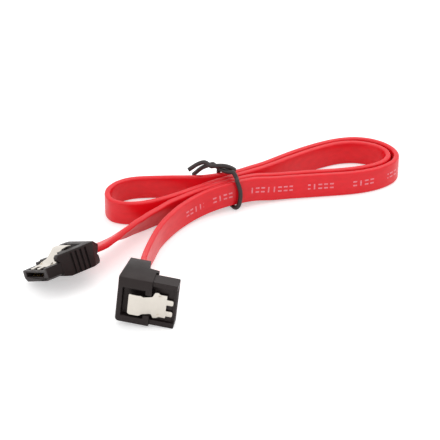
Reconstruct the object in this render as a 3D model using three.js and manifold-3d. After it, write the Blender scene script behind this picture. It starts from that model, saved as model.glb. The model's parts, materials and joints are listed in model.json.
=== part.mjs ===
import * as THREE from 'three';
import { mergeVertices } from 'three/addons/utils/BufferGeometryUtils.js';
import Module from 'manifold-3d';

// A flat cable for a disk drive, tied in a bundle, with one straight and one angled latching plug.
// Millimetres, +Z up. The cable stands on its edge on the surface z = 0.
// A plug's own frame has x from the mouth to the rear, y across its width and z towards its latch.

// Cable
const cableWidth = 8.0;
const cableThickness = 1.8;
const cableEdgeChamfer = 0.5;
const longestStep = 7.6;
const sharpestTurn = THREE.MathUtils.degToRad(15);

// Fits
const gap = 0.3;

// Connector body, the same on both plugs
const bodyWidth = 14.2;
const bodyThickness = 4.4;
const bodyChamfer = 1.3;
const tailEnd = 10.2;
const tailSideStep = 1.5;
const tailFloor = 0.9;
const tailTop = 2.9;
const mouthRim = 0.9;
const rimTop = 4.0;

// Mouth slot, a bar with a short leg at one end
const slotWidth = 10.6;
const slotHeight = 1.25;
const slotFloor = 1.75;
const slotDepth = 5.8;
const slotLegWidth = 1.4;
const slotLegFloor = 0.8;

// Contacts
const contactCount = 7;
const contactPitch = 1.27;
const contactWidth = 0.7;
const contactThickness = 0.25;
const contactSideGap = 0.12;
const contactSetBack = 0.9;
const contactRise = 0.45;
const contactLength = 8.6;

// Latch spring
const latchShift = 0.6;
const latchThickness = 0.3;
const latchPlateWidth = 7.4;
const latchWingSpan = 8.4;
const latchNeckWidth = 5.6;
const latchTabWidth = 6.6;
const latchPlateEnd = 7.0;
const latchTabStart = 9.6;
const fingerWidth = 1.8;
const fingerPlaces = [-1.4, 1.8];
const barbSpan = 6.2;
const barbHeight = 0.6;
const barbLength = 1.5;

// Latch bay in the connector body
const bayWidth = 11.0;
const bayDepth = 1.0;

// Overmoulds
const mouldWidth = 14.8;
const windowWidth = 9.2;
const windowEnd = 15.1;
const lugEnd = 8.9;
const lugSpacing = 6.6;
const windowFloor = 3.25;
const straightBodyLength = 5.0;
const straightTabRise = 3.4;
const straightTabEnd = 12.6;
const straightLength = 19.0;
const straightBelow = 0.4;
const straightTop = 6.7;
const straightFrontLean = 1.1;
const farWallTop = 5.3;
const farWallEnd = 14.2;
const farWallStart = 6.6;
const straightRearWidth = 10.4;
const straightRearTaper = 3.2;
const grooveCount = 4;
const groovePitch = 1.65;
const grooveWidth = 0.7;
const grooveDepth = 0.5;
const angledBodyLength = 7.0;
const angledTabRise = 2.0;
const angledTabEnd = 13.2;
const angledLength = 16.6;
const angledTop = 5.3;
const angledReach = 11.6;
const angledNeckFront = 9.4;
const angledNeckRear = 14.8;
const angledRearWidth = 12.8;

// Places of the plugs on the surface, in millimetres and degrees
const straightPlace = [-52.7, -32.6];
const straightTurn = 40;
const straightRoll = -25;
const angledPlace = [-11.8, -47.0];
const angledTurn = -9.4;
const angledTilt = 6.8;

// Wire tie
const tieWire = 1.2;
const tieCornerRadius = 1.6;
const tieTwistTurns = 2.5;
const tieStrands = 4;
const strandPitch = 2.35;
const tieRoom = 0.5;
const tieSlant = 1.8;
const tiePlace = [2.1, 19.8];
const tieTurn = 28;

// The cable's way from the straight plug to the angled one.
// Each row is x, y, how high the lower edge is lifted, and the lean of the upper edge to the left in degrees.
const route = [
  [-33.5, -13.5, 3, -56],
  [-30.5, -8.5, 1.9, -46],
  [-26.6, -2.6, 0.6, -34],
  [-21.2, 3.5, 0.1, -24],
  [-14.6, 8.9, 0.3, -10],
  [-6.4, 14.0, 0.8, 0],
  [-0.6, 16.9, 1.4, 2],
  [5.0, 19.7, 1.6, 1],
  [10.7, 22.5, 1.3, 2],
  [16.4, 24.4, 0.6, 1],
  [22.2, 25.9, 0.3, 0],
  [28.6, 27.3, 0.1, 0],
  [34.4, 28.2, 0, 0],
  [39.9, 29.1, 0, 0],
  [45.0, 30.4, 0, 0],
  [49.4, 32.2, 0, 0],
  [52.6, 34.6, 0, 0],
  [54.4, 37.7, 0, 0],
  [54.3, 41.3, 0, 0],
  [52.3, 44.5, 0, 0],
  [48.8, 46.8, 0, 0],
  [44.0, 48.0, 0, 0],
  [38.6, 47.2, 0, 0],
  [33.0, 44.5, 0, 0],
  [27.7, 40.9, 0.1, 0],
  [22.6, 36.8, 0.3, 0],
  [18.3, 33.0, 0.5, -1],
  [14.0, 29.1, 0.8, -2],
  [9.5, 25.3, 1.3, -3],
  [5.0, 22.3, 1.6, -1],
  [-0.7, 19.2, 1.4, -1],
  [-6.5, 16.4, 0.8, 2],
  [-12.4, 13.0, 0.4, 4],
  [-16.8, 10.5, 0.2, 5],
  [-21.0, 8.7, 0, 6],
  [-25.8, 7.2, 0, 6],
  [-30.3, 7.2, 0, 5],
  [-33.6, 8.9, 0, 2],
  [-35.2, 12.1, 0, 0],
  [-35.2, 15.8, 0, -1],
  [-33.6, 19.2, 0, -4],
  [-31.1, 21.6, 0, -6],
  [-27.8, 23.1, 0, -7],
  [-23.7, 23.7, 0, -7],
  [-19.2, 23.7, 0.1, -5],
  [-14.6, 23.4, 0.3, -2],
  [-10.3, 23.0, 0.5, 0],
  [-5.3, 22.6, 0.8, 2],
  [-0.2, 22.8, 1.4, 3],
  [5.0, 24.6, 1.6, 1],
  [9.5, 27.9, 1.3, 2],
  [14.0, 31.8, 0.8, 1],
  [18.3, 35.9, 0.5, 0],
  [22.7, 39.8, 0.3, 0],
  [27.8, 43.8, 0.1, 0],
  [33.1, 47.2, 0, 0],
  [38.7, 49.7, 0, 0],
  [44.4, 50.7, 0, 0],
  [49.7, 49.6, 0, 0],
  [53.9, 46.7, 0, 0],
  [56.4, 43.1, 0, 0],
  [57.3, 39.3, 0, 0],
  [56.3, 35.3, 0, 0],
  [53.8, 32.2, 0, 0],
  [50.3, 29.7, 0, 0],
  [46.0, 27.8, 0, 0],
  [40.9, 26.5, 0, 0],
  [34.3, 25.5, 0, -1],
  [28.5, 24.5, 0.1, -2],
  [22.2, 23.3, 0.3, -2],
  [16.4, 21.8, 0.6, -3],
  [10.7, 20.1, 1.3, -3],
  [5.0, 17.4, 1.6, -1],
  [-0.7, 14.5, 1.4, -2],
  [-6.3, 10.9, 0.8, -1],
  [-11.8, 5.1, 0.4, 0],
  [-15.7, -1.3, 0.3, 2],
  [-18.7, -8.1, 0.2, 4],
  [-20.4, -15.5, 0.6, 3],
  [-21.8, -23.9, 1.7, 5],
  [-22.4, -30.9, 3, 6],
];

// Finishes
const plastic = { color: 0x17161a, roughness: 0.5, metalness: 0 };
const jacket = { color: 0xd8203a, roughness: 0.42, metalness: 0 };
const springSteel = { color: 0xd6d4cc, roughness: 0.25, metalness: 1 };
const gilt = { color: 0xc9a14e, roughness: 0.3, metalness: 1 };
const tieCoat = { color: 0x1d1c20, roughness: 0.55, metalness: 0 };

const wasm = await Module();
wasm.setup();

// A closed geometry as a solid that can be joined and cut.
function solidOf(geometry) {
  const bare = geometry.clone();
  bare.deleteAttribute('normal');
  bare.deleteAttribute('uv');
  const merged = mergeVertices(bare, 1e-4);
  const vertProperties = new Float32Array(merged.attributes.position.array);
  const triVerts = new Uint32Array(merged.index.array);
  return new wasm.Manifold(new wasm.Mesh({ numProp: 3, vertProperties, triVerts }));
}

// A solid back as a geometry.
function geometryOf(solid) {
  const mesh = solid.getMesh();
  const geometry = new THREE.BufferGeometry();
  geometry.setAttribute('position', new THREE.BufferAttribute(mesh.vertProperties, 3));
  geometry.setIndex(new THREE.BufferAttribute(mesh.triVerts, 1));
  geometry.computeVertexNormals();
  return geometry;
}

function block(x0, x1, y0, y1, z0, z1) {
  const geometry = new THREE.BoxGeometry(x1 - x0, y1 - y0, z1 - z0);
  geometry.translate((x0 + x1) / 2, (y0 + y1) / 2, (z0 + z1) / 2);
  return solidOf(geometry);
}

function outline(points) {
  return new THREE.Shape(points.map(([a, b]) => new THREE.Vector2(a, b)));
}

// A side view, x and z, given a width from y0 to y1.
function sidePrism(points, y0, y1) {
  const geometry = new THREE.ExtrudeGeometry(outline(points), { depth: y1 - y0, bevelEnabled: false });
  geometry.rotateX(Math.PI / 2);
  geometry.translate(0, y1, 0);
  return solidOf(geometry);
}

// A plan view, x and y, given a height from z0 to z1.
function planPrism(points, z0, z1) {
  const geometry = new THREE.ExtrudeGeometry(outline(points), { depth: z1 - z0, bevelEnabled: false });
  geometry.translate(0, 0, z0);
  return solidOf(geometry);
}

// A front view, y and z, given a length from x0 to x1.
function frontPrism(points, x0, x1) {
  const geometry = new THREE.ExtrudeGeometry(outline(points), { depth: x1 - x0, bevelEnabled: false });
  geometry.applyMatrix4(new THREE.Matrix4().makeBasis(
    new THREE.Vector3(0, 1, 0), new THREE.Vector3(0, 0, 1), new THREE.Vector3(1, 0, 0)));
  geometry.translate(x0, 0, 0);
  return solidOf(geometry);
}

function piece(name, shape, finish) {
  const geometry = shape.isBufferGeometry ? shape : geometryOf(shape);
  const mesh = new THREE.Mesh(geometry, new THREE.MeshStandardMaterial(finish));
  mesh.name = name;
  return mesh;
}

const halfBody = bodyWidth / 2;
const contactPlaces = Array.from(
  { length: contactCount }, (_, i) => (i - (contactCount - 1) / 2) * contactPitch);
const bayFloor = bodyThickness - bayDepth;
const latchBed = bayFloor + gap + latchThickness / 2;
const contactFloor = slotFloor - contactThickness - gap;

// The mating body: a mouth with its slot, a bay for the latch and a tail that the overmould grips.
function makeBody(length) {
  const face = [
    [-halfBody + bodyChamfer, 0],
    [halfBody - bodyChamfer, 0],
    [halfBody, bodyChamfer],
    [halfBody, bodyThickness],
    [-halfBody, bodyThickness],
    [-halfBody, bodyChamfer],
  ];
  const shell = frontPrism(face, 0, length);
  const tail = block(
    length - gap, tailEnd,
    -halfBody + tailSideStep, halfBody - tailSideStep, tailFloor, tailTop);
  const bar = block(-1, slotDepth, -slotWidth / 2, slotWidth / 2, slotFloor, slotFloor + slotHeight);
  const leg = block(
    -1, slotDepth, -slotWidth / 2, -slotWidth / 2 + slotLegWidth, slotLegFloor, slotFloor + gap);
  const bay = block(mouthRim, length + 1, -bayWidth / 2, bayWidth / 2, bayFloor, bodyThickness + 1);
  const rimCut = block(-1, mouthRim + 1, -bayWidth / 2, bayWidth / 2, rimTop, bodyThickness + 1);
  let body = shell.add(tail).subtract(bar).subtract(leg).subtract(bay).subtract(rimCut);
  for (const y of contactPlaces) {
    const half = contactWidth / 2 + contactSideGap;
    const reach = contactSetBack + contactLength + gap;
    body = body.subtract(block(
      contactSetBack - gap, reach, y - half, y + half, contactFloor, slotFloor + gap));
  }
  return body;
}

// One contact: a strip that lies in its channel and rises to a rounded touching point near the mouth.
function makeContact(y) {
  const low = contactFloor + gap / 2;
  const front = contactSetBack;
  const rear = contactSetBack + contactLength;
  const centre = [
    [front, low],
    [front + 1.0, low + contactRise],
    [front + 1.8, low + contactRise],
    [front + 3.4, low],
    [rear, low],
  ];
  const upper = centre.map(([x, z]) => [x, z + contactThickness]).reverse();
  return sidePrism([...centre, ...upper], y - contactWidth / 2, y + contactWidth / 2);
}

// The latch: a sheet spring with two fingers at the mouth, a plate with wings and barbs, and a press tab.
function makeLatch(tabRise, tabEnd) {
  const start = mouthRim + gap;
  const half = latchThickness / 2;
  const plateFront = start + 1.5;
  const plateEnd = latchPlateEnd;
  const tabTop = latchBed + tabRise;
  const bend = [
    [start, latchBed],
    [plateEnd - 1.4, latchBed + 0.1],
    [latchTabStart, tabTop - 0.25],
    [latchTabStart + 1, tabTop],
    [tabEnd - 0.7, tabTop],
    [tabEnd, tabTop - 0.35],
  ];
  const sheet = sidePrism(
    [...bend.map(([x, z]) => [x, z - half]), ...bend.map(([x, z]) => [x, z + half]).reverse()],
    -bodyWidth, bodyWidth);
  const plan = [];
  const side = [
    [plateFront, latchPlateWidth / 2],
    [plateEnd - 2.4, latchPlateWidth / 2],
    [plateEnd - 1.8, latchWingSpan / 2],
    [plateEnd - 0.8, latchWingSpan / 2],
    [plateEnd + 0.2, latchNeckWidth / 2],
    [latchTabStart - 0.4, latchNeckWidth / 2],
    [latchTabStart + 0.3, latchTabWidth / 2],
    [tabEnd - 1, latchTabWidth / 2],
    [tabEnd, latchTabWidth / 2 - 1],
  ];
  for (const [x, y] of side) {
    plan.push([x, latchShift - y]);
  }
  for (const [x, y] of [...side].reverse()) {
    plan.push([x, latchShift + y]);
  }
  let flat = planPrism(plan, 0, bodyThickness * 2);
  for (const place of fingerPlaces) {
    const y = latchShift + place;
    flat = flat.add(block(
      start, plateFront + gap, y - fingerWidth / 2, y + fingerWidth / 2, 0, bodyThickness * 2));
  }
  let latch = sheet.intersect(flat);
  const barbStart = plateFront + 0.9;
  const barbFoot = latchBed;
  const barb = [
    [barbStart, barbFoot],
    [barbStart + barbLength, barbFoot],
    [barbStart + barbLength, barbFoot + half + barbHeight],
  ];
  for (const sign of [-1, 1]) {
    const y = latchShift + sign * barbSpan / 2;
    latch = latch.add(sidePrism(barb, y - half, y + half));
  }
  return latch;
}

// The room that the body's tail takes inside an overmould.
function tailRoom() {
  return block(
    0, tailEnd + gap,
    -halfBody + tailSideStep - gap, halfBody - tailSideStep + gap, tailFloor - gap, tailTop + gap);
}

// The straight plug's overmould: a grip with a latch window open to the mouth and grooves on its sides.
function makeStraightMould() {
  const front = straightBodyLength + gap;
  const rear = straightLength;
  const middle = (straightTop - straightBelow) / 2;
  const view = [
    [front, -0.1],
    [front + 2.0, -straightBelow],
    [rear - 0.6, -straightBelow],
    [rear, -straightBelow + 0.6],
    [rear, middle - 1.2],
    [rear - 0.5, middle - 0.8],
    [rear, middle - 0.4],
    [rear, straightTop - 1.8],
    [rear - 2.4, straightTop],
    [front - straightFrontLean + 0.6, straightTop],
    [front - straightFrontLean, straightTop - 0.6],
    [front - straightFrontLean, bodyThickness + gap + 0.4],
    [front, bodyThickness + gap],
  ];
  const half = mouldWidth / 2;
  const rearHalf = straightRearWidth / 2;
  const plan = [
    [0, -half],
    [rear - straightRearTaper, -half],
    [rear, -rearHalf],
    [rear, rearHalf],
    [rear - straightRearTaper, half],
    [0, half],
  ];
  let mould = sidePrism(view, -half, half).intersect(planPrism(plan, -straightBelow, straightTop));
  mould = mould.subtract(tailRoom()).subtract(latchWindow(straightTop));
  // The wall on the far side of the window is lower than the near one and starts farther back.
  mould = mould.subtract(block(
    0, farWallEnd, latchShift + windowWidth / 2 - 0.1, mouldWidth, farWallTop, straightTop + 1));
  mould = mould.subtract(block(
    0, lugEnd, latchShift + lugSpacing / 2 - 0.1, mouldWidth, farWallTop, straightTop + 1));
  mould = mould.subtract(block(
    0, farWallStart, latchShift + lugSpacing / 2 - 0.1, mouldWidth, bodyThickness + gap, straightTop + 1));
  const grooveStart = windowEnd - (grooveCount - 1) * groovePitch - 1.2;
  for (let i = 0; i < grooveCount; i += 1) {
    const x = grooveStart + i * groovePitch;
    for (const sign of [-1, 1]) {
      const edge = sign * half;
      const deep = edge - sign * grooveDepth;
      mould = mould.subtract(block(
        x - grooveWidth / 2, x + grooveWidth / 2, Math.min(deep, edge + sign), Math.max(deep, edge + sign),
        -0.2, straightTop - 0.6));
    }
  }
  return mould;
}

// The recess over the press tab, the narrow way between two lugs that leads to it, and the bay before them.
function latchWindow(top) {
  const middle = latchShift;
  const recess = block(
    lugEnd, windowEnd, middle - windowWidth / 2, middle + windowWidth / 2, windowFloor, top + 1);
  const way = block(
    0, lugEnd + gap, middle - lugSpacing / 2, middle + lugSpacing / 2, windowFloor, top + 1);
  const start = block(
    0, latchPlateEnd + gap, -bayWidth / 2, bayWidth / 2, windowFloor, top + 1);
  return recess.add(way).add(start);
}

// The angled plug's overmould: a block that turns the cable out at the back, away from the latch.
function makeAngledMould() {
  const front = angledBodyLength + gap;
  const back = angledTop - angledReach;
  const view = [
    [front, angledTop],
    [front, -gap],
    [front - 1.0, -gap],
    [front - 1.0, -gap - 0.9],
    [angledNeckFront - 0.3, -gap - 1.5],
    [angledNeckFront, back],
    [angledNeckRear, back],
    [angledLength, angledTop - 1.2],
    [angledLength, angledTop],
  ];
  const half = mouldWidth / 2;
  const rearHalf = angledRearWidth / 2;
  const end = [
    [-half, angledTop],
    [-half, -gap - 1.5],
    [-rearHalf, back],
    [rearHalf, back],
    [half, -gap - 1.5],
    [half, angledTop],
  ];
  const mould = sidePrism(view, -half, half).intersect(frontPrism(end, 0, angledLength));
  return mould.subtract(tailRoom()).subtract(latchWindow(angledTop));
}

// All of one plug's pieces, in its own frame.
function makePlug(prefix, bodyLength, mould, tabRise, tabEnd) {
  const plug = new THREE.Group();
  plug.add(piece(`${prefix}_housing`, makeBody(bodyLength), plastic));
  plug.add(piece(`${prefix}_overmould`, mould, plastic));
  plug.add(piece(`${prefix}_latch`, makeLatch(tabRise, tabEnd), springSteel));
  contactPlaces.forEach((y, i) => {
    plug.add(piece(`${prefix}_contact_${i + 1}`, makeContact(y), gilt));
  });
  return plug;
}

// Sets a turned group down so that its lowest corner is on the surface.
function setDown(group) {
  const low = new THREE.Box3().setFromObject(group, true).min.z;
  group.position.z -= low;
  group.updateMatrixWorld(true);
}

const straightPlug = makePlug(
  'straight', straightBodyLength, makeStraightMould(), straightTabRise, straightTabEnd);
straightPlug.rotation.set(
  THREE.MathUtils.degToRad(straightRoll), 0, THREE.MathUtils.degToRad(straightTurn), 'ZYX');
straightPlug.position.set(straightPlace[0], straightPlace[1], 0);
setDown(straightPlug);

// The angled plug stands on its side, latch to the front, and its mouth points to +X.
const angledInner = makePlug(
  'angled', angledBodyLength, makeAngledMould(), angledTabRise, angledTabEnd);
angledInner.quaternion.setFromRotationMatrix(new THREE.Matrix4().makeBasis(
  new THREE.Vector3(-1, 0, 0), new THREE.Vector3(0, 0, -1), new THREE.Vector3(0, -1, 0)));
const angledPlug = new THREE.Group();
angledPlug.add(angledInner);
angledPlug.rotation.set(
  0, THREE.MathUtils.degToRad(angledTilt), THREE.MathUtils.degToRad(angledTurn), 'ZYX');
angledPlug.position.set(angledPlace[0], angledPlace[1], 0);
setDown(angledPlug);

// Where the cable leaves a plug, and in which direction.
function exitOf(plug, point, direction) {
  const at = plug.localToWorld(new THREE.Vector3(...point));
  const ahead = new THREE.Vector3(...direction).transformDirection(plug.matrixWorld);
  return { at: at.addScaledVector(ahead, gap), ahead };
}

const straightExit = exitOf(
  straightPlug, [straightLength, 0, (straightTop - straightBelow) / 2], [1, 0, 0]);
const angledExit = exitOf(
  angledInner, [(angledNeckFront + angledNeckRear) / 2, 0, angledTop - angledReach], [0, 0, -1]);

// The cable's middle line, with the direction of its upper edge along it.
class FlatRoute extends THREE.Curve {
  constructor(first, rows, last) {
    super();
    const points = rows.map(([x, y, lift, lean]) => {
      const angle = THREE.MathUtils.degToRad(lean);
      const rise = (cableWidth * Math.cos(angle) + cableThickness * Math.abs(Math.sin(angle))) / 2;
      return new THREE.Vector3(x, y, lift + rise);
    });
    const straightRun = 3;
    this.line = new THREE.CatmullRomCurve3([
      first.at,
      first.at.clone().addScaledVector(first.ahead, straightRun),
      ...points,
      last.at.clone().addScaledVector(last.ahead, straightRun),
      last.at,
    ]);
    const leans = rows.map((row) => row[3]);
    const firstLean = -(90 + straightRoll);
    this.leans = [firstLean, firstLean, ...leans, angledTilt, angledTilt];
    this.stations = this.chooseStations();
  }

  getPoint(u) {
    return this.line.getPoint(u);
  }

  leanAt(u) {
    const place = u * (this.leans.length - 1);
    const i = Math.min(Math.floor(place), this.leans.length - 2);
    const share = THREE.MathUtils.smoothstep(place - i, 0, 1);
    return THREE.MathUtils.degToRad(THREE.MathUtils.lerp(this.leans[i], this.leans[i + 1], share));
  }

  // Close stations in the bends and wide ones on the straight stretches.
  chooseStations() {
    const samples = 3000;
    const chosen = [0];
    let lastPoint = this.getPoint(0);
    let lastDirection = this.getTangent(0);
    for (let i = 1; i < samples; i += 1) {
      const u = i / samples;
      const point = this.getPoint(u);
      const direction = this.getTangent(u);
      const far = point.distanceTo(lastPoint) >= longestStep;
      if (far || direction.angleTo(lastDirection) >= sharpestTurn) {
        chosen.push(u);
        lastPoint = point;
        lastDirection = direction;
      }
    }
    chosen[chosen.length - 1] = 1;
    return chosen;
  }

  getSpacedPoints() {
    return this.stations.map((u) => this.getPoint(u));
  }

  computeFrenetFrames() {
    const tangents = this.stations.map((u) => this.getTangent(u));
    const upright = new THREE.Vector3(0, 0, 1);
    const normals = tangents.map((tangent, i) => {
      const left = new THREE.Vector3().crossVectors(upright, tangent).normalize();
      const edge = new THREE.Vector3().crossVectors(tangent, left);
      const lean = this.leanAt(this.stations[i]);
      return edge.multiplyScalar(Math.cos(lean)).addScaledVector(left, Math.sin(lean));
    });
    const binormals = tangents.map((tangent, i) => new THREE.Vector3().crossVectors(tangent, normals[i]));
    return { tangents, normals, binormals };
  }
}

function makeCable() {
  const half = cableWidth / 2;
  const side = cableThickness / 2;
  const cut = cableEdgeChamfer;
  const section = outline([
    [-half, -side + cut],
    [-half + cut, -side],
    [half - cut, -side],
    [half, -side + cut],
    [half, side - cut],
    [half - cut, side],
    [-half + cut, side],
    [-half, side - cut],
  ]);
  const path = new FlatRoute(straightExit, route, angledExit);
  const steps = path.stations.length - 1;
  return new THREE.ExtrudeGeometry(section, { steps, extrudePath: path });
}

// The tie: one wire, round the bundle in a loop, with its two ends twisted together on top.
function makeTie() {
  const wire = tieWire / 2;
  const bundleHalf = ((tieStrands - 1) * strandPitch + cableThickness) / 2;
  const halfAcross = bundleHalf + tieRoom + wire;
  const halfUp = cableWidth / 2 + tieRoom + wire;
  const centre = new THREE.Vector3(tiePlace[0], tiePlace[1], halfUp + wire * 1.05);
  const turn = THREE.MathUtils.degToRad(tieTurn);
  const along = new THREE.Vector3(Math.cos(turn), Math.sin(turn), 0);
  const across = new THREE.Vector3(-Math.sin(turn), Math.cos(turn), 0);
  const upright = new THREE.Vector3(0, 0, 1);
  const place = (a, b, c) => centre.clone()
    .addScaledVector(along, a).addScaledVector(across, b).addScaledVector(upright, c);
  const split = wire * 1.15;
  const points = [];

  // The twist runs from its loose end, over the back of the bundle, to the loop.
  const twistEnd = [-3.6, 3.4, halfUp + 2.4];
  const twistRoot = [1.3, -1.8, halfUp + 1.6];
  const axis = new THREE.Vector3(...twistRoot).sub(new THREE.Vector3(...twistEnd)).normalize();
  const sideways = new THREE.Vector3().crossVectors(axis, upright).normalize();
  const lifted = new THREE.Vector3().crossVectors(sideways, axis);
  const twistSteps = 24;
  const twist = (share, phase) => {
    const angle = phase + share * tieTwistTurns * 2 * Math.PI;
    const spot = new THREE.Vector3(...twistEnd).lerp(new THREE.Vector3(...twistRoot), share)
      .addScaledVector(sideways, split * Math.cos(angle))
      .addScaledVector(lifted, split * Math.sin(angle));
    return place(spot.x, spot.y, spot.z);
  };
  points.push(place(-9.8, 7.6, halfUp + 0.3));
  points.push(place(-7.0, 6.4, halfUp + 2.3));
  points.push(place(-5.2, 5.4, halfUp + 2.9));
  for (let i = 0; i <= twistSteps; i += 1) {
    points.push(twist(i / twistSteps, 0));
  }
  const r = tieCornerRadius;
  const corners = [[1, 1], [1, -1], [-1, -1], [-1, 1]];
  const loop = [];
  corners.forEach(([b, c], k) => {
    for (let i = 0; i <= 3; i += 1) {
      const angle = Math.PI / 2 - (k + i / 3) * Math.PI / 2;
      loop.push([
        b * (halfAcross - r) + r * Math.cos(angle),
        c * (halfUp - r) + r * Math.sin(angle),
      ]);
    }
    if (k === 0 || k === 2) {
      loop.push([b * halfAcross, 0]);
    }
    if (k === 1) {
      loop.push([0, c * halfUp]);
    }
  });
  // The front of the loop leans over to the loose end; its back and its underside run straight.
  loop.forEach(([b, c], i) => {
    const apart = THREE.MathUtils.lerp(-split, split, i / (loop.length - 1));
    const leaning = (1 - b / halfAcross) * (1 + c / halfUp) / 2;
    points.push(place(apart + tieSlant * (1 - leaning), b, c));
  });
  for (let i = twistSteps; i >= 0; i -= 1) {
    points.push(twist(i / twistSteps, Math.PI));
  }
  points.push(place(-4.9, 3.6, halfUp + 1.9));
  points.push(place(-8.1, 4.9, halfUp + 0.3));
  const path = new THREE.CatmullRomCurve3(points);
  const section = outline(Array.from({ length: 8 }, (_, i) => {
    const angle = i * Math.PI / 4;
    return [wire * Math.cos(angle), wire * Math.sin(angle)];
  }));
  return new THREE.ExtrudeGeometry(section, { steps: 150, extrudePath: path });
}

const part = new THREE.Group();
part.add(straightPlug);
part.add(angledPlug);
part.add(piece('cable', makeCable(), jacket));
part.add(piece('twist_tie', makeTie(), tieCoat));

export default part;
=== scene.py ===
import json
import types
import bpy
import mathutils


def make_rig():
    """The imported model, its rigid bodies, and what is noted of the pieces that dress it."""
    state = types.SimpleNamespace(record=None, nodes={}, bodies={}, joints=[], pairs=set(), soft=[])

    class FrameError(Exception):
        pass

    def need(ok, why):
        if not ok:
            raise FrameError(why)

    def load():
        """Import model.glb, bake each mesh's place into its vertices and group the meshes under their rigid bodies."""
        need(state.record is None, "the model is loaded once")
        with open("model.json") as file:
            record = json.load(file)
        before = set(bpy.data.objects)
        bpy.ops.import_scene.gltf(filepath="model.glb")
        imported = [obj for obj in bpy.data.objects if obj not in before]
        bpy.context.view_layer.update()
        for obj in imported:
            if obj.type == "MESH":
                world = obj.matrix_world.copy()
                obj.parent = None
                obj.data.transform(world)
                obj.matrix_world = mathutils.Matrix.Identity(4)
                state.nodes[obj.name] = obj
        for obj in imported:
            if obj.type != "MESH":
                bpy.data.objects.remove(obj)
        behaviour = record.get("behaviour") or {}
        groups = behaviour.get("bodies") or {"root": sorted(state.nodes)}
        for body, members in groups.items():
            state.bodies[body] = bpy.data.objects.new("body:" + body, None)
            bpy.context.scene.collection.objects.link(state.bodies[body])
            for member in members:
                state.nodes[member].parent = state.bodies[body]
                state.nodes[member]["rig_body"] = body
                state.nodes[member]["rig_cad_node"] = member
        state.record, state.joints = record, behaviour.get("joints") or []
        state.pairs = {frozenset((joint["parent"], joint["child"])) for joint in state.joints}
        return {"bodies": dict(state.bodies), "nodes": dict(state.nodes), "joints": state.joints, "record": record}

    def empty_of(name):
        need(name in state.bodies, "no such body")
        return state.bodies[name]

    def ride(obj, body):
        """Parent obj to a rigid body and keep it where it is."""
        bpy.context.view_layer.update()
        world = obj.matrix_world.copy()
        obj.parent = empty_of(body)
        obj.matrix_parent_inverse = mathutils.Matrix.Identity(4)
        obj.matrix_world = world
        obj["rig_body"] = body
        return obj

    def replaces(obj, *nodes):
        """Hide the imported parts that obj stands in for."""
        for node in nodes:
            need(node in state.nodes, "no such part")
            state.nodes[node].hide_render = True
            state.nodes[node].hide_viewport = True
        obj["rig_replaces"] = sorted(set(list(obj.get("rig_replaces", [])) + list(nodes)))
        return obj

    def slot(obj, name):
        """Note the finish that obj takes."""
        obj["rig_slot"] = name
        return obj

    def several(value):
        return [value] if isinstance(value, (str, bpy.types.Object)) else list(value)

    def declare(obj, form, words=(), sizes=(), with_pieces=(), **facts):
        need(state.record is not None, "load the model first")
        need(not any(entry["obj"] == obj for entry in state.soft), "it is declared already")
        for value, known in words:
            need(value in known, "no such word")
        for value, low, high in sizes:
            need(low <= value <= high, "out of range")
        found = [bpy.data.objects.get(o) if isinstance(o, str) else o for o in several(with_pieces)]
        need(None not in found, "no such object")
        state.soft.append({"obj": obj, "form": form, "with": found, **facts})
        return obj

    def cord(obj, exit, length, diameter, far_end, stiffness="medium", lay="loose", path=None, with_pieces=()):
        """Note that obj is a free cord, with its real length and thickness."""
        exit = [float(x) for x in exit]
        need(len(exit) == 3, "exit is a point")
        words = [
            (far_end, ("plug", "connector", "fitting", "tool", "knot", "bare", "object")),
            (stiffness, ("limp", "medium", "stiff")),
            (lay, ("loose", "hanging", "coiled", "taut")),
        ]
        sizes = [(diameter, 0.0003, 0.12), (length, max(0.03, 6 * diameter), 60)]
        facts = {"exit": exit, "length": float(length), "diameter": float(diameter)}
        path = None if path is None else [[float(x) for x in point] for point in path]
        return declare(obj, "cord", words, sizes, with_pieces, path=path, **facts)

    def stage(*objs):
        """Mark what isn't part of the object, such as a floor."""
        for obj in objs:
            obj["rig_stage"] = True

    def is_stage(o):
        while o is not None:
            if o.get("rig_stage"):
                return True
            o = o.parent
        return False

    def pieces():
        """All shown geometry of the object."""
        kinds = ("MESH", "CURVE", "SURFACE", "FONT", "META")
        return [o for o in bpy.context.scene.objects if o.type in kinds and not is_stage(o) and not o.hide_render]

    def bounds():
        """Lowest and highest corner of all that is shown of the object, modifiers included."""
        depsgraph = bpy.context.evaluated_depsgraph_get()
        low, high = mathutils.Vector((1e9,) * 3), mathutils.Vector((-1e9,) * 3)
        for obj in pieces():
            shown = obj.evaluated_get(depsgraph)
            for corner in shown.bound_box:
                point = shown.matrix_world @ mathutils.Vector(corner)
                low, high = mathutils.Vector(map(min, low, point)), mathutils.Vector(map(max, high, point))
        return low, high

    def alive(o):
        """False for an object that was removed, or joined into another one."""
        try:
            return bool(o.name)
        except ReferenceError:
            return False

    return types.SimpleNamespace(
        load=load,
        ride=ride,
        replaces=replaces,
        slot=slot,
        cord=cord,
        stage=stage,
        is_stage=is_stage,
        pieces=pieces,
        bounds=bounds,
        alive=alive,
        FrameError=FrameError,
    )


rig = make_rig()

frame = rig.load()
CAD_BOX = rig.bounds()

import json
import math

import bmesh
import bpy
from mathutils import Euler, Matrix, Vector

bl_info = {
    "name": "Drive Data Cable",
    "version": (1, 0, 0),
    "blender": (4, 5, 0),
    "location": "View3D > Sidebar > Data Cable",
    "description": "Dresses the tied flat cable with its straight and its angled latching plug",
    "category": "Add Mesh",
}

MM = 0.001
SIZE_FILE = "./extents.json"

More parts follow.
